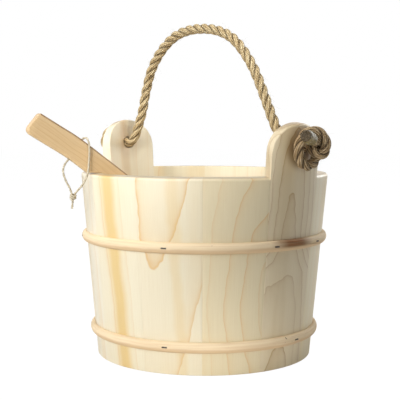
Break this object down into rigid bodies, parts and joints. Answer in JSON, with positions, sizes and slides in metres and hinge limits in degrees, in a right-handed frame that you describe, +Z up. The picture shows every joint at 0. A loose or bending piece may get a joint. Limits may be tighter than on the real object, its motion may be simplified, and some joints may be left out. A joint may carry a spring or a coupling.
{
  "type": "sauna_bucket",
  "caption": "Coopered pale-wood sauna bucket with two bent wooden hoops, a knotted rope handle through tall ear staves, and a wooden ladle resting over its rim on a notch.",
  "frame": {"origin": "Centre of the underside of the bottom boards, 10 mm above the foot of the staves, on the bucket's axis", "axes": "+Z up along the bucket's axis, +X towards the ear stave on the right of the picture, -Y towards the side where the ladle leaves the bucket"},
  "size_m": [0.3178, 0.3128, 0.3462],
  "materials": {
    "stave_wood": "planed pale softwood, unvarnished",
    "hoop_wood": "split and bent rod, smooth, unvarnished",
    "ladle_wood": "smooth darker wood, lightly oiled",
    "rope_fibre": "laid natural fibre rope, dry and hairy",
    "tape_plastic": "clear adhesive tape over rope",
    "thong_cotton": "thin undyed cord",
    "staple_steel": "dull wire"
  },
  "bodies": {
    "bucket": {"ear_stave_right": "stave_wood", "ear_stave_left": "stave_wood", "stave_01": "stave_wood", "stave_02": "stave_wood", "stave_03": "stave_wood", "stave_04": "stave_wood", "stave_05": "stave_wood", "stave_06": "stave_wood", "stave_07": "stave_wood", "stave_08": "stave_wood", "stave_09": "stave_wood", "stave_10": "stave_wood", "bottom_board_1": "stave_wood", "bottom_board_2": "stave_wood", "bottom_board_3": "stave_wood", "upper_hoop": "hoop_wood", "lower_hoop": "hoop_wood", "upper_staple_1": "staple_steel", "upper_staple_2": "staple_steel", "upper_staple_3": "staple_steel", "upper_staple_4": "staple_steel", "upper_staple_5": "staple_steel", "upper_staple_6": "staple_steel", "upper_staple_7": "staple_steel", "lower_staple_1": "staple_steel", "lower_staple_2": "staple_steel", "lower_staple_3": "staple_steel", "lower_staple_4": "staple_steel", "lower_staple_5": "staple_steel"},
    "handle": {"rope_handle": "rope_fibre", "rope_knot_right": "rope_fibre", "rope_knot_left": "rope_fibre", "rope_tape_right": "tape_plastic", "rope_tape_left": "tape_plastic"},
    "ladle": {"ladle_cup": "ladle_wood", "ladle_handle": "ladle_wood"},
    "thong": {"thong_loop": "thong_cotton", "thong_knot": "thong_cotton"}
  },
  "joints": [
    {"name": "handle_swing", "type": "hinge", "parent": "bucket", "child": "handle", "pos_m": [0, 0, 0.21], "axis": [1, 0, 0], "range_deg": [-100, 87]},
    {"name": "ladle_lift", "type": "slide", "parent": "bucket", "child": "ladle", "axis": [0, 0, 1], "range_m": [0, 0.17]},
    {"name": "thong_swing", "type": "hinge", "parent": "ladle", "child": "thong", "pos_m": [-0.04733, -0.13515, 0.2062], "axis": [-0.1983, -0.5663, -0.8], "range_deg": [0, 100]}
  ]
}
